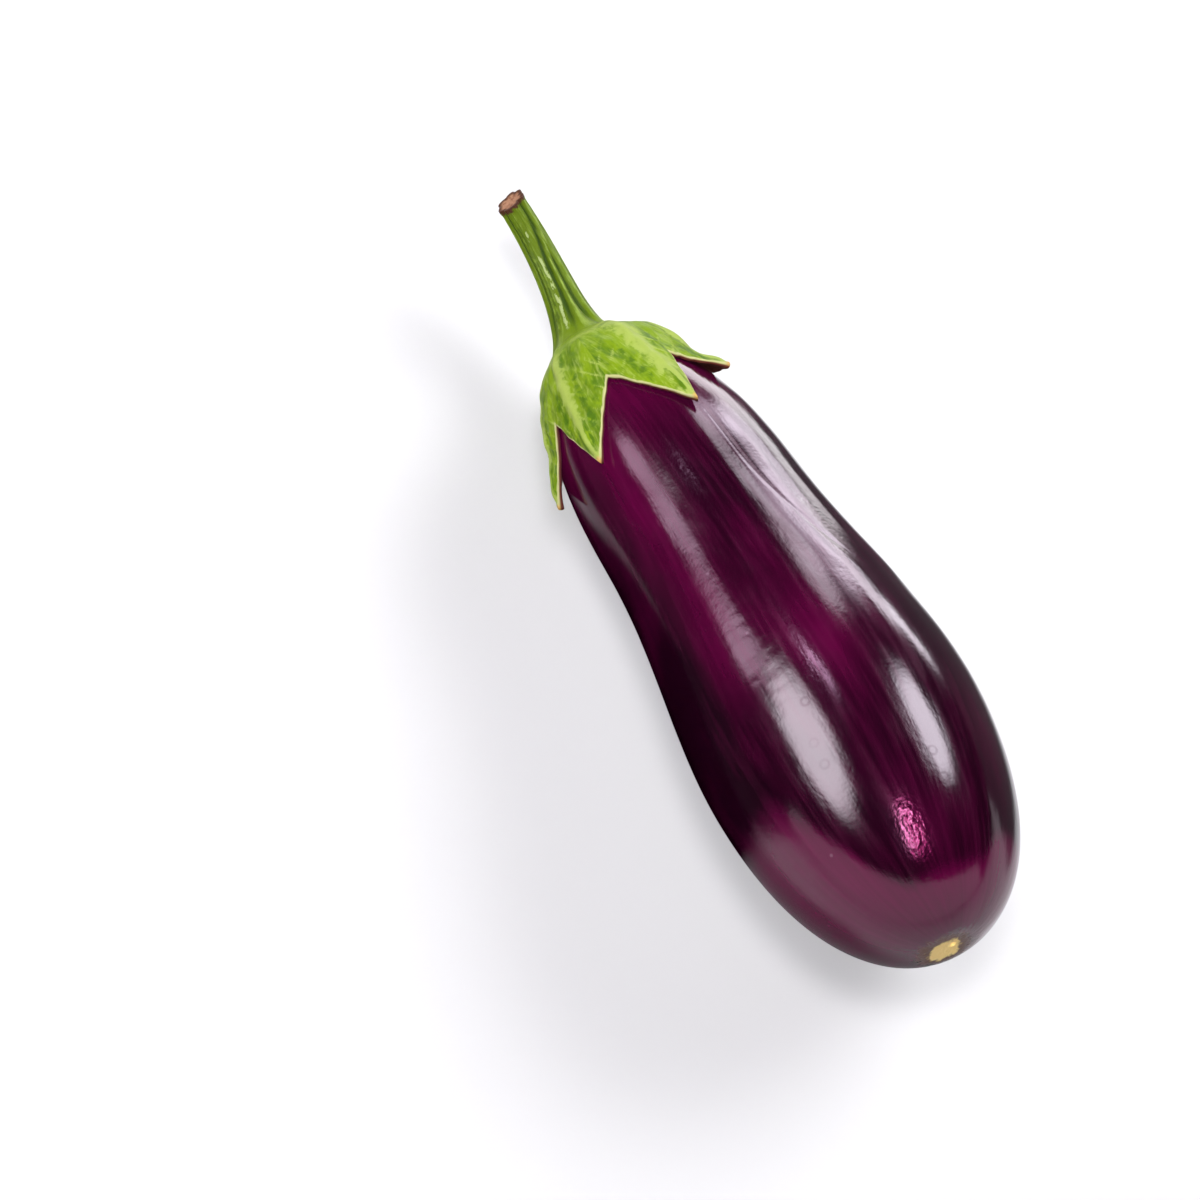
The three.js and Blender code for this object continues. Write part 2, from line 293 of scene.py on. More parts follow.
class EggplantStem(bpy.types.PropertyGroup):
    """Sizes and colours of the stem."""

    end_radius: a_length("End radius", "Radius of the stem near the cut", 4.1 * MM, min=1 * MM)
    flare: a_length("Flare", "How much wider the stem is where it meets the calyx", 4.7 * MM, min=0)
    rib_height: a_length("Rib height", "Height of the lengthwise ribs", 0.45 * MM, min=0)
    rib_color: a_color("Ribs", "Colour of the stem's ribs", (0.066, 0.105, 0.003))
    foot_color: a_color("Foot", "Colour of the stem where it runs into the calyx", (0.11, 0.17, 0.005))
    # Painted shade: the stem takes this colour in its grooves
    groove_shade_color: a_color("Grooves", "Colour of the grooves between the ribs", (0.022, 0.045, 0.003))
    cut_color: a_color("Cut", "Colour of the dry face of the cut", (0.28, 0.15, 0.09))


class EggplantStage(bpy.types.PropertyGroup):
    """Surface, light and view."""

    floor_radius: a_length("Floor radius", "Radius of the round pale surface", 4.0, min=0.5)
    floor_color: a_color("Floor", "Colour of the pale surface", (0.44, 0.44, 0.45))
    light_level: FloatProperty(
        name="Light level",
        description="Strength of all the soft lights together",
        default=1.0,
        min=0,
        subtype="FACTOR",
    )
    backdrop_color: a_color("Backdrop", "Colour beyond the surface", (0.9, 0.9, 0.92))
    lens: IntProperty(
        name="Lens",
        description="Focal length of the camera, in millimetres",
        default=100,
        min=10,
    )


def ease(value):
    """Rises from 0 to 1 with no jump in slope or curvature: t cubed times
    (10 - 15 t + 6 t squared)."""
    t = np.clip(value, 0.0, 1.0)
    return t**3 * (10 - 15 * t + 6 * t * t)


def rise(value, start, full):
    """Eased from 0 at the start to 1 where it is full, whichever of the two is larger."""
    return ease((value - start) / (full - start))


def hill(value, width):
    """A smooth bump: 1 at value 0, falling off as e to the minus (value / width) squared."""
    return np.exp(-((value / width) ** 2))


def blend(a, b, share):
    return a + (b - a) * share


def unit(vectors):
    """Vectors made one long."""
    return vectors / np.linalg.norm(vectors, axis=-1, keepdims=True)


def signed_turn(turn):
    """A turn brought to between minus and plus half a turn."""
    return (turn + np.pi) % (2 * np.pi) - np.pi


def swell_noise(round_angle, along, height, seed, count, fewest, most, pitch_limit):
    """Soft unevenness that closes round the piece: a height times the sum of cosine waves over the
    root of their count. The seed draws each one's turns, pitch along the piece and phase."""
    draw = np.random.default_rng(seed)
    total = np.zeros(np.broadcast(round_angle, along).shape)
    for _ in range(count):
        turns = draw.integers(fewest, most + 1)
        pitch = draw.uniform(-pitch_limit, pitch_limit)
        phase = draw.uniform(0, 2 * np.pi)
        total += np.cos(turns * round_angle + pitch * along + phase)
    return height * total / math.sqrt(count)


def fruit_radius(reach, fruit):
    """Neck to belly by an eased step, times a superellipse dome at each end."""
    body = blend(fruit.neck_radius, fruit.belly_radius, rise(reach, SWELL_START, SWELL_END))
    from_neck = np.clip(1 - reach / SHOULDER_LENGTH, 0, 1)
    shoulder = (1 - from_neck**SHOULDER_POWER) ** (1 / SHOULDER_POWER)
    into_end = np.clip((reach - BLOSSOM_START) / (fruit.length - BLOSSOM_START), 0, 1)
    blossom = (1 - into_end**BLOSSOM_BLUNTNESS) ** (1 / BLOSSOM_POWER)
    return body * shoulder * blossom


def bend_aside(reach, fruit):
    """A parabola from the belly to the stem end."""
    return -fruit.bend * (np.maximum(SWELL_END - reach, 0) / SWELL_END) ** 2


def round_skin(reach, turn, fruit):
    """Points of the skin: circles of the fruit's radius with a cosine flute, their centres on
    the bent line, leaning back towards the stem end by the shoulder's lean."""
    along = np.clip(reach / fruit.length, 0, 1)
    flute = -fruit.flute_height * np.sin(np.pi * along) * np.cos(FLUTE_COUNT * turn)
    smooth = fruit_radius(reach, fruit)
    radius = smooth + flute * np.minimum(1, smooth / fruit.neck_radius)
    aside = radius * np.sin(turn)
    lean = SHOULDER_LEAN * np.clip(1 - reach / SHOULDER_LENGTH, 0, 1) ** 2
    across = bend_aside(reach, fruit) + aside
    return np.stack([reach - lean * aside, across, radius * np.cos(turn)], -1)


def skin_normal(reach, turn, fruit):
    """Outward normals: a short step lengthwise crossed with a short step round the fruit."""
    inside = np.maximum(reach, TINY)
    step = np.minimum(SMALL_STEP, inside / 2)
    lengthwise = round_skin(inside + step, turn, fruit) - round_skin(inside - step, turn, fruit)
    ahead = round_skin(inside, turn + SMALL_TURN, fruit)
    behind = round_skin(inside, turn - SMALL_TURN, fruit)
    normal = unit(np.cross(lengthwise, ahead - behind))
    at_pole = unit(np.array((-1.0, -SHOULDER_LEAN, 0.0)))
    return np.where((reach > TINY)[..., None], normal, at_pole)


def raised_skin(reach, turn, offset, fruit):
    """Points that stand off the skin along its normals."""
    return round_skin(reach, turn, fruit) + skin_normal(reach, turn, fruit) * offset[..., None]


def tip_up(points):
    """Turns points about +Y by the resting tilt."""
    cosine, sine = math.cos(REST_TILT), math.sin(REST_TILT)
    x, y, z = points[..., 0], points[..., 1], points[..., 2]
    return np.stack([x * cosine - z * sine, y, x * sine + z * cosine], -1)


def set_down(points, fruit):
    """Places points of the fruit's frame so that the belly's resting spot is the origin."""
    reach = np.array(REST_REACH)
    low = np.array((REST_REACH, bend_aside(reach, fruit), -fruit_radius(reach, fruit)))
    return tip_up(points) - tip_up(low) - np.array((0, 0, REST_DEPTH))


def patch(reach, turn, fruit, middle, half_length, middle_turn, half_width):
    """A soft patch on the skin: a hill lengthwise times a hill round the fruit."""
    beside = (signed_turn(turn) - middle_turn) * fruit_radius(reach, fruit)
    return hill(reach - middle, half_length) * hill(beside, half_width)


def fruit_relief(reach, turn, fruit):
    """Fine relief along the normal: a lengthwise crease beside two soft ridges on the neck,
    faint lengthwise waves and short crosswise wrinkles at the waist."""
    along = reach / fruit.length
    radius = fruit_radius(reach, fruit)
    signed = signed_turn(turn)
    swerve = CREASE_SWERVE * (np.maximum(reach - CREASE_SWERVE_START, 0) / CREASE_SWERVE_LENGTH) ** 2
    beside = (signed - CREASE_TURN - swerve) * radius
    on_neck = rise(reach, 34 * MM, 50 * MM) * rise(reach, 132 * MM, 112 * MM)
    crease = CREASE_DEPTH * hill(beside, 0.75 * MM)
    ridges = sum(height * hill(beside - apart, width) for height, apart, width in NECK_RIDGES)
    broad = swell_noise(turn, along, *BROAD_WAVES)
    streaks = swell_noise(turn, along, *STREAK_WAVES)
    middle = np.sin(np.pi * np.clip(along, 0, 1)) ** 0.7
    wobble = swell_noise(turn, along, *WRINKLE_WAVES)
    wrinkles = np.cos(2 * np.pi * reach / WRINKLE_PITCH + wobble + 8 * signed)
    wrinkles = WRINKLE_HEIGHT * wrinkles * patch(reach, turn, fruit, *WRINKLED)
    return (ridges - crease) * on_neck + (broad + streaks) * middle + wrinkles


def fruit_redness_with_painted_light(reach, turn):
    """Where the skin is redder: soft hills by the calyx, along the left of the neck and at the waist,
    and an eased step to the blossom end that starts earlier on the left, which is painted light.
    The left flank is darker, which is painted shade."""
    signed = np.degrees(signed_turn(turn))
    by_calyx = 0.25 * hill(reach - 36 * MM, 20 * MM)
    on_neck = rise(reach, 40 * MM, 60 * MM) * rise(reach, 165 * MM, 130 * MM)
    left = 0.26 * hill(signed + 38, 15) * on_neck
    waist = 0.24 * hill(reach - 140 * MM, 17 * MM) * hill(signed + 2, 13)
    on_flank = rise(reach, 100 * MM, 130 * MM) * rise(reach, 190 * MM, 170 * MM)
    # Painted shade: the left flank is made darker
    flank = -0.13 * rise(signed, -42, -64) * on_flank
    # Painted light: the skin is made brighter towards the blossom end, from earlier on the left
    early = rise(signed, -18, -63) * rise(signed, -180, -120)
    sooner = rise(signed, 30, 50) * rise(signed, 180, 120)
    start = (211 - 44 * early - 6 * sooner) * MM
    end = 0.45 * rise(reach, start, start + (6 + 16 * early) * MM)
    return by_calyx + left + waist + flank + end


def scar_nearness(reach, turn, fruit):
    """1 at the dry middle of the blossom scar, falling to 0 in a rounded cone."""
    radius = fruit_radius(reach, fruit)
    aside = radius * np.sin(turn) + SCAR_ASIDE
    below = radius * np.cos(turn) + SCAR_BELOW
    away = np.sqrt(aside**2 + below**2 + SCAR_CORE**2)
    return (1 - np.minimum(away / SCAR_FADE, 1)) * (reach > BLOSSOM_START)


def fruit_grid(fruit):
    """Rows from pole to pole, closer at the ends: the skin with its relief, dented by the scar's
    bowl and flat where it rests."""
    way = np.arange(FRUIT_ROWS + 1) / FRUIT_ROWS
    reach = (fruit.length * (1 - np.cos(np.pi * way)) / 2)[:, None]
    turn = (2 * np.pi * np.arange(FRUIT_COLUMNS) / FRUIT_COLUMNS)[None]
    reach, turn = np.broadcast_arrays(reach, turn)
    radius = fruit_radius(reach, fruit)
    relief = fruit_relief(reach, turn, fruit) * np.minimum(1, radius / RELIEF_FADE_RADIUS)
    bowl = SCAR_DEPTH * (1 - np.minimum(radius / SCAR_RADIUS, 1) ** 2) ** 2 * (reach > BLOSSOM_START)
    points = raised_skin(reach, turn, relief, fruit) - bowl[..., None] * np.array((1.0, 0.0, 0.0))
    placed = set_down(points, fruit)
    placed[..., 2] = np.maximum(placed[..., 2], 0)
    return placed, {
        "grain": np.stack([np.cos(turn), np.sin(turn), reach / SKIN_GRAIN], -1),
        "red": fruit_redness_with_painted_light(reach, turn),
        "scar": scar_nearness(reach, turn, fruit),
        "pebble": PEBBLE_STRENGTH * patch(reach, turn, fruit, *PEBBLED),
    }


def calyx_lines(share):
    """The calyx along lines of turn: share runs once round it, through each notch and tip."""
    halves = 2 * len(LOBES)
    half = np.floor(share * halves).astype(int) % halves
    within = share * halves - np.floor(share * halves)
    number = half // 2
    lobe = LOBES[number]
    before = LOBES[number - 1]
    outward = half % 2 == 0
    wrapped = np.where(number == 0, before[..., 3] - 360, before[..., 3])
    notch_turn = np.where(outward, wrapped, lobe[..., 3])
    notch_reach = np.where(outward, before[..., 4], lobe[..., 4]) * MM
    tipness = np.where(outward, within, 1 - within)
    tip_reach = lobe[..., 1] * MM
    return SimpleNamespace(
        turn=np.radians(blend(notch_turn, lobe[..., 0], tipness)),
        edge=blend(notch_reach, tip_reach, tipness**LOBE_SHARPNESS),
        from_rib=np.radians(np.abs(notch_turn - lobe[..., 0])) * (1 - tipness),
        tipness=tipness,
        notch_reach=notch_reach,
        tip_reach=tip_reach,
        lift=lobe[..., 2] * MM,
        number=number,
        notch=np.where(outward, number - 1, number),
        side=np.where(outward, -1.0, 1.0),
    )


def calyx_under(line, reach):
    """How far the underside stands off the skin: a small gap, and the lobe's lift at its tip."""
    out = rise(reach, line.notch_reach, line.tip_reach)
    return CALYX_GAP + line.lift * out * line.tipness


def calyx_thickness(line, reach, calyx, fruit):
    """Thickness: fleshy round the stem and on one shoulder, thin at the margin, with a rib."""
    middle = CROWN_THICKNESS * hill(reach, CROWN_SPREAD)
    one_sided = (1 + np.cos(line.turn - SHOULDER_TURN)) / 2
    bulge = hill(reach - SHOULDER_REACH, SHOULDER_SPREAD) * rise(reach, 0, SHOULDER_REACH)
    body = calyx.leaf_thickness + middle + SHOULDER_THICKNESS * bulge * one_sided
    from_margin = 1 - np.exp(-np.maximum(line.edge - reach, 0) / MARGIN_SPREAD)
    across = line.from_rib * fruit_radius(reach, fruit)
    rib = calyx.rib_height * hill(across, RIB_HALF_WIDTH) * rise(reach, 0, RIB_RISE)
    return calyx.margin_thickness + (body - calyx.margin_thickness + rib) * from_margin


def side_veins(line, reach, across, half_width):
    """Side veins as hills: they leave the rib at even steps and a slant, shifted from lobe to
    lobe, and fade near the rib and the stem."""
    slanted = (reach - VEIN_SLANT * across) / VEIN_PITCH + VEIN_SHIFT * line.number
    from_vein = np.abs(slanted - np.round(slanted)) * VEIN_PITCH
    return hill(from_vein, half_width) * rise(across, 0, 2.5 * MM) * rise(reach, 14 * MM, 24 * MM)


def calyx_relief(line, reach, across):
    """Fine relief of the outside: side veins, puckers between them, a rounded bead along the
    margin, a knob at each tip and a collar round the stem."""
    inside = np.maximum(line.edge - reach, 0)
    veins = VEIN_HEIGHT * side_veins(line, reach, across, VEIN_HALF_WIDTH) * rise(inside, 0, 4 * MM)
    puckers = swell_noise(line.turn, reach, *PUCKER_WAVES)
    puckers = puckers * rise(inside, 0, 3 * MM) * rise(reach, 5 * MM, 13 * MM)
    bead = 0.22 * MM * hill(inside - 0.7 * MM, 0.55 * MM)
    knob = 0.6 * MM * hill(1 - line.tipness, 0.06) * hill(inside - 0.9 * MM, 0.9 * MM)
    collar = 0.12 * MM * hill(reach - FOOT_REACH - 0.5 * MM, 0.6 * MM)
    return veins + puckers + bead + knob + collar


def calyx_veins_and_painted_shading(line, reach, across):
    """How pale (above 0) or dark (below 0) the flesh is painted: pale along each midrib, the side veins
    and a collar round the stem, partly their own paleness and partly painted highlight on these raised
    parts, and dark beside the midrib and in a slit near the tip, which is painted shade."""
    out = reach / line.tip_reach
    broad = PALE_HALF_WIDTH + BROAD_LOBE_EXTRA * (line.number == BROAD_LOBE)
    midrib = 1.1 * hill(across, broad) * rise(reach, 6 * MM, 14 * MM)
    beside = 0.7 * hill(across - 2 * broad, 1.5 * MM) * rise(reach, 14 * MM, 26 * MM)
    slit = 1.6 * hill(across - 1.3 * MM, 0.5 * MM) * rise(out, 0.66, 0.78) * rise(out, 0.95, 0.87)
    veins = 0.7 * side_veins(line, reach, across, 0.5 * MM)
    collar = 0.6 * hill(reach - 7.5 * MM, 2.6 * MM)
    return midrib - beside - slit + veins + collar


def calyx_grid(fruit, calyx):
    """Out over the outside to the margin, round its rounded rim, and back along the underside."""
    share = np.arange(CALYX_COLUMNS) / CALYX_COLUMNS
    line = calyx_lines(share)
    ragged = swell_noise(2 * np.pi * share, 0 * share, *MARGIN_WAVES)
    line.edge = line.edge + ragged * (1 - line.tipness**6)
    half = calyx.margin_thickness / 2
    out_share = (np.arange(CALYX_OUTER_ROWS + 1) / CALYX_OUTER_ROWS)[:, None]
    in_share = (np.arange(CALYX_INNER_ROWS + 1)[::-1] / CALYX_INNER_ROWS)[:, None]
    angle = (np.pi * np.arange(1, CALYX_RIM_ROWS) / CALYX_RIM_ROWS)[:, None]
    within = line.edge - half
    outer = within * out_share**SHOULDER_POWER
    rim = within + half * np.sin(angle)
    inner = within * in_share**SHOULDER_POWER
    reach = np.concatenate([outer, rim, inner])
    height = np.concatenate([1 + 0 * outer, (1 + np.cos(angle)) / 2 + 0 * rim, 0 * inner])
    thickness = calyx_thickness(line, np.minimum(reach, within), calyx, fruit)
    across = line.from_rib * fruit_radius(reach, fruit)
    relief = calyx_relief(line, reach, across) * height
    offset = calyx_under(line, reach) + height * thickness + relief
    points = raised_skin(reach, line.turn + 0 * reach, offset, fruit)
    apart = 17 * line.number + 5 * line.side + 0 * reach
    return set_down(points, fruit), {
        "leaf": np.stack([across / MM, reach / MM, apart], -1),
        "margin": (line.edge - reach) / MM,
        "outside": height,
        "veins_and_painted_shading": calyx_veins_and_painted_shading(line, reach, across),
        "tip": line.tipness * rise(reach, 0.75 * line.tip_reach, line.tip_reach),
    }


def calyx_top(line, reach, calyx, fruit):
    """Points of the calyx's outside, where the stem settles onto it."""
    offset = calyx_under(line, reach) + calyx_thickness(line, reach, calyx, fruit) - FOOT_SINK
    return raised_skin(reach, line.turn + 0 * reach, offset, fruit)


class StemPath:
    """The stem's centre line: a quadratic Bezier curve walked at an even pace, from the middle
    of the calyx to the middle of the cut."""

    def __init__(self, crown):
        self.start = crown
        self.elbow = crown + unit(STEM_FOOT_DIRECTION) * STEM_ARM
        self.end = self.elbow + unit(STEM_END_DIRECTION) * STEM_ARM
        self.steps = np.linspace(0, 1, 400)
        pace = np.linalg.norm(np.diff(self.at(self.steps), axis=0), axis=1)
        self.walked = np.concatenate([[0], np.cumsum(pace)])
        self.length = self.walked[-1]

    def at(self, t):
        t = np.asarray(t)[..., None]
        return self.start * (1 - t) ** 2 + 2 * self.elbow * t * (1 - t) + self.end * t**2

    def middle(self, along):
        return self.at(np.interp(along * self.length, self.walked, self.steps))

    def direction(self, along):
        t = np.interp(along * self.length, self.walked, self.steps)[..., None]
        return unit((self.elbow - self.start) * (1 - t) + (self.end - self.elbow) * t)


def stem_ridges(line, along):
    """The stem's section: a rib over each lobe and a sharper groove over each notch, going over
    on the upper side into one long groove that wanders and a short one beside it, and fine
    lengthwise lines. Runs from about -1 in a groove to 1 on a rib."""
    rib = 2 * ease(line.tipness) - 1
    groove = -GROOVE_DEPTHS[line.notch] * hill(line.tipness, 0.18)
    signed = np.degrees(signed_turn(line.turn))
    from_long = signed + 13 - 35 * rise(along, 0.45, 0.95)
    from_short = signed - 28 + 10 * rise(along, 0, 0.35)
    near = rise(along, 0.75, 0.45)
    grooves = 2.2 * hill(from_long, 9) + 2.4 * hill(from_short, 7) * near
    crests = 0.8 * hill(from_long - 18, 7) + 0.7 * hill(from_short - 16, 8) * near
    on_upper = rise(np.abs(signed - 4), 62, 37) * rise(along, 0, 0.15)
    lines = swell_noise(line.turn, along, *STEM_WAVES)
    return blend(0.75 * rib + groove, 0.4 - grooves + crests, on_upper) + lines


def stem_section(path, along, line, share, stem):
    """A point at a share of the stem's length and radius: rings square to the centre line,
    leaning over near the far end until the last one lies in the plane of the cut."""
    along = along + 0 * line.turn
    middle = path.middle(along)
    direction = path.direction(along)
    side = unit(np.array((0.0, 1.0, 0.0)) - direction[..., 1:2] * direction)
    up = np.cross(side, direction)
    turn = line.turn[..., None] + 0 * side[..., :1]
    ripple = stem.rib_height * stem_ridges(line, along)
    flare = stem.flare * np.exp(-along * path.length / STEM_FLARE_LENGTH)
    fillet = FILLET_WIDTH * np.exp(-along * path.length / FILLET_LENGTH)
    rim = CUT_RIM_HEIGHT * rise(along, CUT_RIM_START, 1)
    radius = stem.end_radius + STEM_TAPER * (1 - along) + flare + fillet + rim + ripple
    arm = (side * np.sin(turn) + up * np.cos(turn)) * (share * radius)[..., None]
    cut = unit(CUT_NORMAL)
    lean = -rise(along, CUT_SLANT_START, 1) * (arm @ cut) / (direction @ cut)
    return middle + arm + direction * lean[..., None]


def stem_grid(fruit, calyx, stem):
    """The hollowed face of the cut, the ribbed side down to the foot, and the hidden underside."""
    share = np.arange(STEM_COLUMNS) / STEM_COLUMNS
    line = calyx_lines(share)
    turn = line.turn
    crown = calyx_top(calyx_lines(np.zeros(1)), np.zeros(1), calyx, fruit)[0] + FOOT_SINK
    path = StemPath(crown)
    across = (np.arange(STEM_FACE_ROWS) / STEM_FACE_ROWS)[:, None]
    face = stem_section(path, np.ones_like(across), line, across + 0 * share, stem)
    rough = swell_noise(turn, across, *CUT_WAVES) * across
    hollow = CUT_HOLLOW * (1 - across**2) + rough
    face = face - unit(CUT_NORMAL) * hollow[..., None]
    along = (1 - np.arange(STEM_SIDE_ROWS + 1) / STEM_SIDE_ROWS)[:, None] ** 1.15
    side = stem_section(path, along, line, np.ones_like(along) + 0 * share, stem)
    settle = calyx_top(line, np.full((1, 1), FOOT_REACH), calyx, fruit) - side[-1:]
    near_foot = np.exp(-along * path.length / FOOT_BLEND_LENGTH)
    side = side + settle * near_foot[..., None]
    inward = (np.arange(STEM_UNDER_ROWS)[::-1] / STEM_UNDER_ROWS)[:, None]
    under = calyx_top(line, FOOT_REACH * inward**SHOULDER_POWER, calyx, fruit)
    points = np.concatenate([face, side, under])
    run = np.concatenate([1 + 0 * across, along, 0 * inward]) + 0 * share
    signed = np.degrees(signed_turn(turn))
    flecks = hill(signed + 28, 8) - hill(signed + 43, 9)
    lengthwise = run * path.length / STEM_GRAIN
    return set_down(points, fruit), {
        "grain": np.stack([np.cos(turn) + 0 * run, np.sin(turn) + 0 * run, lengthwise], -1),
        "cut": np.concatenate([1 - across, -1 + 0 * along, -1 + 0 * inward]) + 0 * share,
        "ridge": stem_ridges(line, run),
        "run": run,
        "flecks": flecks * rise(run, 0.03, 0.15) * rise(run, 0.97, 0.77),
    }


def add_object(name, data):
    """A new object in the scene."""
    made = bpy.data.objects.new(name, data)
    bpy.context.scene.collection.objects.link(made)
    return made


def listed(grid):
    """A grid's values in one list: its first pole, the rows between and its last pole."""
    return np.concatenate([grid[:1, 0], grid[1:-1].reshape((-1,) + grid.shape[2:]), grid[-1:, 0]])


def link_mesh(name, rows, attributes):
    """A closed mesh from a grid of rows x columns x 3 points, its first and last rows each one
    pole. Columns run round the piece, and a face's corners go by row first, so that it looks out."""
    count_rows, count_columns = rows.shape[:2]
    points = listed(rows)
    last = len(points) - 1
    column = np.arange(count_columns)
    after = np.roll(column, -1)
    start = 1 + count_columns * np.arange(count_rows - 3)[:, None]
    below = start + count_columns
    quads = np.stack([start + column, below + column, below + after, start + after], -1).reshape(-1, 4)
    bottom = 1 + count_columns * (count_rows - 3)
    first_fan = np.stack([np.zeros_like(column), 1 + column, 1 + after], -1)
    last_fan = np.stack([bottom + column, np.full_like(column, last), bottom + after], -1)
    mesh = bpy.data.meshes.new(name)
    faces = quads.tolist() + first_fan.tolist() + last_fan.tolist()
    mesh.from_pydata(points.tolist(), [], faces)
    for label, values in attributes.items():
        vector = values.ndim == 3
        kind = "FLOAT_VECTOR" if vector else "FLOAT"
        layer = mesh.attributes.new(label, kind, "POINT")
        layer.data.foreach_set("vector" if vector else "value", listed(values).astype(np.float32).ravel())
    mesh.polygons.foreach_set("use_smooth", np.ones(len(faces), bool))
    mesh.update()
    if mesh.validate():
        raise RuntimeError(f"the mesh of {name} had faults")
    return add_object(name, mesh)


def dress(piece, node, material):
    """Gives a piece its material and body, and hides the solid that it stands for."""
    piece.data.materials.append(material)
    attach(piece, "root")
    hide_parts(node)


def node(tree, kind, inputs=None, **settings):
    """A node with its settings made, and each input set to a value or linked to a socket."""
    made = tree.nodes.new(kind)
    for setting, value in settings.items():
        setattr(made, setting, value)
    for key, value in (inputs or {}).items():
        if isinstance(value, bpy.types.NodeSocket):
            tree.links.new(value, made.inputs[key])
        else:
            made.inputs[key].default_value = value
    return made


def attribute(tree, name, output="Fac"):
    return node(tree, "ShaderNodeAttribute", attribute_name=name).outputs[output]


def object_place(tree):
    return node(tree, "ShaderNodeTexCoord").outputs["Object"]


def scaled(tree, vector, scale):
    """A vector with each part times its own number, about the piece's middle."""
    return node(tree, "ShaderNodeMapping", {"Vector": vector, "Scale": scale}).outputs[0]


def noise(tree, vector, scale, detail=2.0, roughness=0.5, distortion=0.0):
    """Soft noise from 0 to 1: more detail adds finer octaves, each weaker by the roughness."""
    inputs = {"Vector": vector, "Scale": scale, "Detail": detail}
    inputs.update({"Roughness": roughness, "Distortion": distortion})
    return node(tree, "ShaderNodeTexNoise", inputs).outputs[0]


def span(tree, value, limits, results=(0.0, 1.0)):
    """A value eased from one result to the other between its limits."""
    inputs = {"Value": value, "From Min": limits[0], "From Max": limits[1]}
    inputs.update({"To Min": results[0], "To Max": results[1]})
    return node(tree, "ShaderNodeMapRange", inputs, interpolation_type="SMOOTHSTEP").outputs[0]


def math_of(tree, operation, *values):
    return node(tree, "ShaderNodeMath", dict(enumerate(values)), operation=operation).outputs[0]


def plus(tree, a, b):
    return math_of(tree, "ADD", a, b)


def times(tree, a, b):
    return math_of(tree, "MULTIPLY", a, b)


def vector_math(tree, operation, output, *vectors):
    made = node(tree, "ShaderNodeVectorMath", dict(enumerate(vectors)), operation=operation)
    return made.outputs[output]


def ray_kind(tree, output):
    return node(tree, "ShaderNodeLightPath").outputs[output]


def rgba(color):
    """A colour as a node takes it: a socket as it is, and three parts with a fourth of 1."""
    return color if isinstance(color, bpy.types.NodeSocket) else (*color, 1.0)


def mixed(tree, share, first, second):
    """One colour going over into another by a share."""
    inputs = {MIX_SHARE: share, MIX_FIRST: rgba(first), MIX_SECOND: rgba(second)}
    return node(tree, "ShaderNodeMix", inputs, data_type="RGBA").outputs[MIX_RESULT]


def painted(tree, color, layers):
    """A colour with others laid over it in order: each layer is a value, the limits between
    which it fades in, how much it covers and its colour."""
    for value, limits, amount, paint in layers:
        color = mixed(tree, span(tree, value, limits, (0.0, amount)), color, paint)
    return color


def bump(tree, height, distance, strength=1.0, normal=None):
    """A normal tilted by the slope of a height, on top of another normal where one is given."""
    inputs = {"Height": height, "Distance": distance, "Strength": strength}
    if normal is not None:
        inputs["Normal"] = normal
    return node(tree, "ShaderNodeBump", inputs).outputs[0]


def start_material(name):
    material = bpy.data.materials.new(name)
    material.use_nodes = True
    tree = material.node_tree
    return material, tree, tree.nodes["Principled BSDF"]


def finish_shader(tree, shader, color, roughness, normal, values):
    """Links colour, roughness and normal, and sets the numbers that are the same all over."""
    tree.links.new(color, shader.inputs["Base Color"])
    tree.links.new(roughness, shader.inputs["Roughness"])
    tree.links.new(normal, shader.inputs["Normal"])
    for socket, value in values.items():
        shader.inputs[socket].default_value = value


def ring_dullness(tree, place, fruit):
    """A little dullness on each small ring: highest where the distance to its centre is the
    ring's radius."""
    centres = set_down(round_skin(RINGS[:, 0] * MM, np.radians(RINGS[:, 1]), fruit), fruit)
    limits = (0.5 * RING_RADIUS, 0.1 * RING_RADIUS)
    dull = 0.0
    for centre in centres:
        apart = vector_math(tree, "DISTANCE", "Value", place, centre)
        off_ring = math_of(tree, "ABSOLUTE", math_of(tree, "SUBTRACT", apart, RING_RADIUS))
        dull = plus(tree, dull, span(tree, off_ring, limits, (0.0, RING_DULLNESS)))
    return dull


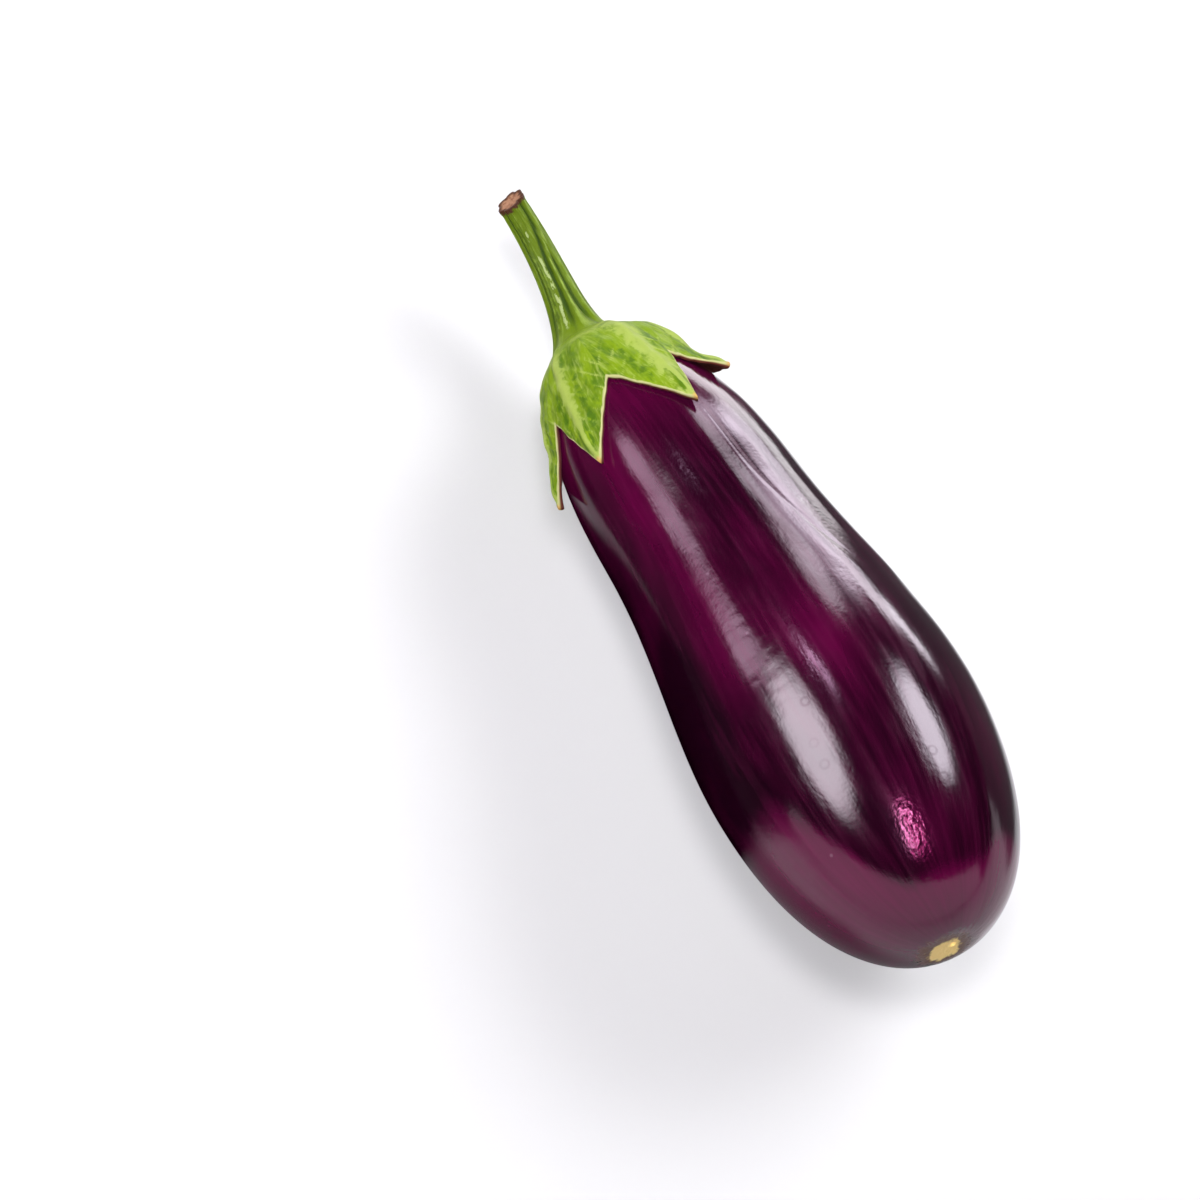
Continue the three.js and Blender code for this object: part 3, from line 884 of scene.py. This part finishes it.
def skin_material(fruit):
    """Deep purple waxy skin: cloudy dark and magenta patches on top of its redness, which holds painted
    shade on the left flank and painted light at the blossom end, fine lengthwise streaks, scattered
    pale pores and a dry yellow scar with a brown border. The gloss has a waxy mottling, a few dull
    rings and one pebbled spot."""
    material, tree, shader = start_material("eggplant_skin")
    grain = attribute(tree, "grain", "Vector")
    place = object_place(tree)
    clouds = noise(tree, scaled(tree, grain, (1.0, 1.0, 0.35)), 2.6, detail=3.0, roughness=0.55)
    streaks = noise(tree, scaled(tree, grain, (1.0, 1.0, 0.06)), 22.0)
    fine = noise(tree, scaled(tree, grain, (1.0, 1.0, 0.12)), 55.0, detail=1.0)
    waxy = noise(tree, scaled(tree, grain, (1.0, 1.0, 0.5)), 7.0, detail=3.0, roughness=0.55)
    patchy = span(tree, clouds, (0.4, 0.75), (0.02, 0.16))
    streaky = span(tree, streaks, (0.35, 0.75), (0.0, 0.1))
    # The red attribute holds painted shade on the left flank and painted light at the blossom end
    share = plus(tree, plus(tree, patchy, streaky), attribute(tree, "red"))
    purple = mixed(tree, share, fruit.deep_color, fruit.bright_color)
    pores = node(tree, "ShaderNodeTexVoronoi", {"Vector": place, "Scale": 75.0}, feature="F1")
    scar = attribute(tree, "scar")
    raggedness = span(tree, noise(tree, place, 500.0, detail=3.0), (0.3, 0.7), (-0.06, 0.06))
    ragged = plus(tree, scar, raggedness)
    layers = (
        (pores.outputs["Distance"], (0.06, 0.03), 0.12, PORE_COLOR),
        (ragged, (0.3, 0.55), 1.0, SCAR_BORDER_COLOR),
        (ragged, (0.58, 0.7), 1.0, fruit.scar_color),
    )
    color = painted(tree, purple, layers)
    dull = plus(tree, span(tree, ragged, (0.3, 0.7), (0.0, 0.45)), ring_dullness(tree, place, fruit))
    dull = plus(tree, dull, span(tree, waxy, (0.35, 0.7), (0.0, 0.05)))
    roughness = plus(tree, span(tree, streaks, (0.3, 0.8), (0.1, 0.165)), dull)
    lengthwise = plus(tree, times(tree, streaks, 0.8), times(tree, fine, 0.14))
    crust = times(tree, scar, noise(tree, place, 900.0, detail=4.0))
    normal = bump(tree, lengthwise, 0.06 * MM, 0.5)
    normal = bump(tree, waxy, 0.07 * MM, 1.0, normal)
    normal = bump(tree, noise(tree, place, 800.0, detail=1.0), 0.03 * MM, 0.6, normal)
    normal = bump(tree, crust, 0.5 * MM, 0.8, normal)
    normal = bump(tree, noise(tree, place, 750.0), 0.2 * MM, attribute(tree, "pebble"), normal)
    finish_shader(tree, shader, color, roughness, normal, {"IOR": 1.5})
    return material


def calyx_material(calyx):
    """Fresh green flesh: bright between paler veins, with painted highlight on the midribs and painted
    shade beside them, dark mottles, pale margins with painted shade as a thin dark border beneath,
    and dry tan tips."""
    material, tree, shader = start_material("eggplant_calyx")
    leaf = attribute(tree, "leaf", "Vector")
    place = object_place(tree)
    patches = noise(tree, scaled(tree, leaf, (1.0, 0.4, 1.0)), 0.2, 3.0, 0.6, distortion=0.5)
    streaks = noise(tree, scaled(tree, leaf, (1.0, 0.16, 1.0)), 1.1, 3.0, 0.6, distortion=0.3)
    mottle = noise(tree, place, 300.0, detail=4.0, roughness=0.62)
    wander = span(tree, mottle, (0.3, 0.7), (-0.35, 0.35))
    veins_and_painted_shading = plus(tree, attribute(tree, "veins_and_painted_shading"), wander)
    waver = span(tree, noise(tree, place, 500.0), (0.3, 0.7), (-0.25, 0.25))
    from_edge = plus(tree, attribute(tree, "margin"), waver)
    layers = (
        (patches, (0.42, 0.68), 0.85, DARK_GREEN),
        (streaks, (0.48, 0.7), 0.5, calyx.vein_color),
        (streaks, (0.44, 0.28), 0.4, DARK_GREEN),
        # Painted highlight and shade: pale on the midribs, veins and collar, partly their own colour, dark
        # beside the midribs and in the slits near the tips
        (veins_and_painted_shading, (0.2, 0.9), 0.85, calyx.vein_color),
        (veins_and_painted_shading, (-0.25, -0.85), 0.85, DARK_GREEN),
        (from_edge, (1.5, 0.75), 1.0, calyx.margin_color),
        (attribute(tree, "tip"), (0.9, 0.99), 1.0, TIP_COLOR),
        # Painted shade: a thin dark border on the lower half of the rim and the underside of each lobe
        (attribute(tree, "outside"), (0.97, 0.6), 1.0, MARGIN_SHADE_COLOR),
    )
    color = painted(tree, calyx.leaf_color, layers)
    roughness = span(tree, mottle, (0.3, 0.7), (0.42, 0.6))
    normal = bump(tree, noise(tree, place, 420.0, detail=5.0, roughness=0.6), 0.3 * MM, 0.6)
    finish_shader(tree, shader, color, roughness, normal, {"IOR": 1.4, "Specular IOR Level": 0.12})
    return material


def stem_material(stem):
    """Green ribs over grooves darkened with painted shade, their crests paled with painted highlight,
    pale dashes, and at the far end a dry tan cut inside a brown rim."""
    material, tree, shader = start_material("eggplant_stem")
    grain = attribute(tree, "grain", "Vector")
    place = object_place(tree)
    run = attribute(tree, "run")
    marks = attribute(tree, "flecks")
    cut = attribute(tree, "cut")
    fibres = noise(tree, scaled(tree, grain, (1.0, 1.0, 0.12)), 9.0, detail=4.0, roughness=0.6)
    dashes = noise(tree, scaled(tree, grain, (1.0, 1.0, 0.42)), 4.2, detail=3.0, roughness=0.6)
    raised = plus(tree, attribute(tree, "ridge"), span(tree, fibres, (0.25, 0.75), (-0.5, 0.5)))
    flecks = times(tree, span(tree, dashes, (0.45, 0.57)), marks)
    shaded = times(tree, span(tree, dashes, (0.6, 0.42)), marks)
    waver = span(tree, noise(tree, place, 600.0, detail=3.0), (0.3, 0.7), (-0.012, 0.012))
    rings = noise(tree, place, 800.0, detail=5.0, roughness=0.65)
    pith = mixed(tree, span(tree, rings, (0.42, 0.66)), stem.cut_color, PITH_COLOR)
    layers = (
        # Painted shade in the grooves and painted highlight on the crests, by the height of the ridges
        (raised, (-1.5, -0.1), 1.0, stem.rib_color),
        (run, (0.2, 0.0), 0.7, stem.foot_color),
        (raised, (0.4, 1.3), 0.75, CREST_HIGHLIGHT_COLOR),
        (flecks, (0.2, 0.8), 0.85, DASH_COLOR),
        (shaded, (-0.1, -0.7), 0.55, stem.groove_shade_color),
        (plus(tree, run, waver), (0.972, 0.985), 1.0, CUT_RIM_COLOR),
        (cut, (0.1, 0.4), 1.0, pith),
    )
    color = painted(tree, stem.groove_shade_color, layers)
    roughness = span(tree, cut, (0.0, 0.3), (0.45, 0.85))
    normal = bump(tree, plus(tree, fibres, times(tree, rings, 0.5)), 0.2 * MM, 0.7)
    finish_shader(tree, shader, color, roughness, normal, {"IOR": 1.4, "Specular IOR Level": 0.12})
    return material


def direction_at(azimuth, elevation):
    """The direction of an azimuth and elevation, in degrees: azimuth 0 is -Y and 90 is +X."""
    a, e = math.radians(azimuth), math.radians(elevation)
    return Vector((math.sin(a) * math.cos(e), -math.cos(a) * math.cos(e), math.sin(e)))


def fade_rim(tree, kind):
    """Dims a light towards its rim: by the distance from its middle, which is 1 at the rim of
    the ellipse, or, on a card, at its long edges."""
    place = node(tree, "ShaderNodeNewGeometry").outputs["Parametric"]
    weights = (0.0, 2.0, 0.0) if kind == "card" else (2.0, 2.0, 0.0)
    middle = tuple(-weight / 2 for weight in weights)
    outward = vector_math(tree, "MULTIPLY_ADD", "Vector", place, weights, middle)
    away = vector_math(tree, "LENGTH", "Value", outward)
    strength = span(tree, away, (1.0, CARD_FADE_START if kind == "card" else LIGHT_FADE_START))
    tree.links.new(strength, tree.nodes["Emission"].inputs["Strength"])


def add_soft_light(name, azimuth, elevation, distance, width, height, roll, brightness, color, kind, level):
    """An elliptical soft light facing the eggplant, or a long card. Its power is pi times area
    times brightness, as a rectangle's, and it fades towards its rim."""
    light = bpy.data.lights.new(name, "AREA")
    light.shape = "RECTANGLE" if kind == "card" else "ELLIPSE"
    light.size = width
    light.size_y = height
    area = width * height * (1 if kind == "card" else math.pi / 4)
    light.energy = math.pi * area * brightness * level
    light.color = color
    light.use_shadow = kind == "matte"
    light.cycles.use_multiple_importance_sampling = kind != "shadowless"
    light.use_nodes = True
    fade_rim(light.node_tree, kind)
    made = add_object(name, light)
    away = direction_at(azimuth, elevation)
    made.location = LIGHTS_AIM + away * distance
    facing = (-away).to_track_quat("-Z", "Y") @ Quaternion((0, 0, 1), math.radians(roll))
    made.rotation_euler = facing.to_euler()
    made.visible_camera = False
    made.visible_diffuse = kind in ("matte", "shadowless")
    made.visible_glossy = kind in ("gloss", "card")


def floor_regions(tree, place, regions):
    """The sum of the regions' amounts, each fading in across every edge of its region."""
    total = 0.0
    for amount, edges in regions:
        for along_x, along_y, start, full in edges:
            out = vector_math(tree, "DOT_PRODUCT", "Value", place, (along_x, along_y, 0.0))
            amount = times(tree, span(tree, out, (start, full)), amount)
        total = plus(tree, total, amount)
    return total


def floor_material(stage):
    """Matte and pale, with a faint mottle. In the skin's gloss some parts look darker or
    brighter, and for the camera it glows far from the eggplant, by the distance from it."""
    material, tree, shader = start_material("pale_floor")
    place = object_place(tree)
    lighter = tuple(min(1.0, 1.02 * part) for part in stage.floor_color)
    color = mixed(tree, span(tree, noise(tree, place, 3.0), (0.3, 0.7)), stage.floor_color, lighter)
    in_gloss = ray_kind(tree, "Is Glossy Ray")
    shade = times(tree, floor_regions(tree, place, GLOSS_SHADES), in_gloss)
    glow = times(tree, floor_regions(tree, place, GLOSS_GLOWS), in_gloss)
    far_off = span(tree, vector_math(tree, "LENGTH", "Value", place), (0.5, 1.8), (0.0, 0.8))
    far_glow = times(tree, far_off, ray_kind(tree, "Is Camera Ray"))
    tree.links.new(mixed(tree, shade, color, BLACK), shader.inputs["Base Color"])
    tree.links.new(plus(tree, glow, far_glow), shader.inputs["Emission Strength"])
    shader.inputs["Emission Color"].default_value = rgba(GLOW_COLOR)
    shader.inputs["Roughness"].default_value = 1.0
    shader.inputs["Specular IOR Level"].default_value = 0.0
    material.cycles.emission_sampling = "NONE"
    return material


def add_floor(stage):
    """A flat round surface at z = 0: one face with its corners on a circle."""
    turn = np.linspace(0, 2 * np.pi, FLOOR_COLUMNS, endpoint=False)
    ring = stage.floor_radius * np.stack([np.cos(turn), np.sin(turn), 0 * turn], -1)
    mesh = bpy.data.meshes.new("Floor")
    mesh.from_pydata(ring.tolist(), [], [list(range(FLOOR_COLUMNS))])
    mesh.materials.append(floor_material(stage))
    floor = add_object("Floor", mesh)


def add_backdrop(stage):
    """A pale world for the camera, nearly dark to other rays, so that the gloss stays dark
    between the lights."""
    world = bpy.data.worlds.new("Backdrop")
    world.use_nodes = True
    tree = world.node_tree
    background = tree.nodes["Background"]
    background.inputs["Color"].default_value = rgba(stage.backdrop_color)
    strength = span(tree, ray_kind(tree, "Is Camera Ray"), (0.0, 1.0), (BACKDROP_IN_GLOSS, 1.0))
    tree.links.new(strength, background.inputs["Strength"])
    bpy.context.scene.world = world


def add_camera(stage):
    camera = bpy.data.cameras.new("Camera")
    camera.lens = stage.lens
    camera.sensor_width = 36
    camera.clip_start = 0.05
    camera.clip_end = 50
    made = add_object("Camera", camera)
    away = direction_at(VIEW_AZIMUTH, VIEW_ELEVATION)
    made.location = VIEW_AIM + away * VIEW_DISTANCE
    made.rotation_euler = (-away).to_track_quat("-Z", "Y").to_euler()
    bpy.context.scene.camera = made


class EGGPLANT_OT_add_fruit(bpy.types.Operator):
    """Add the fruit, with its skin, flutes, wrinkles and blossom scar"""

    bl_idname = "eggplant.add_fruit"
    bl_label = "Add fruit"

    def execute(self, context):
        fruit = context.scene.eggplant_fruit
        made = link_mesh("Fruit", *fruit_grid(fruit))
        dress(made, "fruit", skin_material(fruit))
        return {"FINISHED"}


class EGGPLANT_OT_add_calyx(bpy.types.Operator):
    """Add the green calyx with its lobes, veins and pale margins"""

    bl_idname = "eggplant.add_calyx"
    bl_label = "Add calyx"

    def execute(self, context):
        calyx = context.scene.eggplant_calyx
        made = link_mesh("Calyx", *calyx_grid(context.scene.eggplant_fruit, calyx))
        dress(made, "calyx", calyx_material(calyx))
        return {"FINISHED"}


class EGGPLANT_OT_add_stem(bpy.types.Operator):
    """Add the ribbed stem with its slanting cut"""

    bl_idname = "eggplant.add_stem"
    bl_label = "Add stem"

    def execute(self, context):
        scene = context.scene
        made = link_mesh("Stem", *stem_grid(scene.eggplant_fruit, scene.eggplant_calyx, scene.eggplant_stem))
        dress(made, "stem", stem_material(scene.eggplant_stem))
        return {"FINISHED"}


class EGGPLANT_OT_add_stage(bpy.types.Operator):
    """Add the pale surface, the soft lights and the camera"""

    bl_idname = "eggplant.add_stage"
    bl_label = "Add stage"

    def execute(self, context):
        stage = context.scene.eggplant_stage
        add_floor(stage)
        add_backdrop(stage)
        add_camera(stage)
        for name, values in SOFT_LIGHTS.items():
            add_soft_light(name, *values, stage.light_level)
        context.scene.view_settings.view_transform = "Standard"
        return {"FINISHED"}


class EGGPLANT_PT_panel(bpy.types.Panel):
    """Lists the eggplant's pieces and their sizes and colours"""

    bl_idname = "EGGPLANT_PT_panel"
    bl_label = "Eggplant"
    bl_space_type = "VIEW_3D"
    bl_region_type = "UI"
    bl_category = "Eggplant"

    def draw(self, context):
        for key, (_, operator) in STEPS.items():
            box = self.layout.box()
            group = getattr(context.scene, key)
            for prop in group.bl_rna.properties:
                if prop.identifier not in {"rna_type", "name"}:
                    box.prop(group, prop.identifier)
            box.operator(operator.bl_idname)


STEPS = {
    "eggplant_fruit": (EggplantFruit, EGGPLANT_OT_add_fruit),
    "eggplant_calyx": (EggplantCalyx, EGGPLANT_OT_add_calyx),
    "eggplant_stem": (EggplantStem, EGGPLANT_OT_add_stem),
    "eggplant_stage": (EggplantStage, EGGPLANT_OT_add_stage),
}


def register():
    for key, (group, operator) in STEPS.items():
        bpy.utils.register_class(group)
        setattr(bpy.types.Scene, key, PointerProperty(type=group))
        bpy.utils.register_class(operator)
    bpy.utils.register_class(EGGPLANT_PT_panel)


def unregister():
    bpy.utils.unregister_class(EGGPLANT_PT_panel)
    for key, (group, operator) in reversed(STEPS.items()):
        bpy.utils.unregister_class(operator)
        delattr(bpy.types.Scene, key)
        bpy.utils.unregister_class(group)


def main():
    """Builds every piece and the stage."""
    register()
    bpy.ops.eggplant.add_fruit()
    bpy.ops.eggplant.add_calyx()
    bpy.ops.eggplant.add_stem()
    bpy.ops.eggplant.add_stage()


if __name__ == "__main__":
    main()
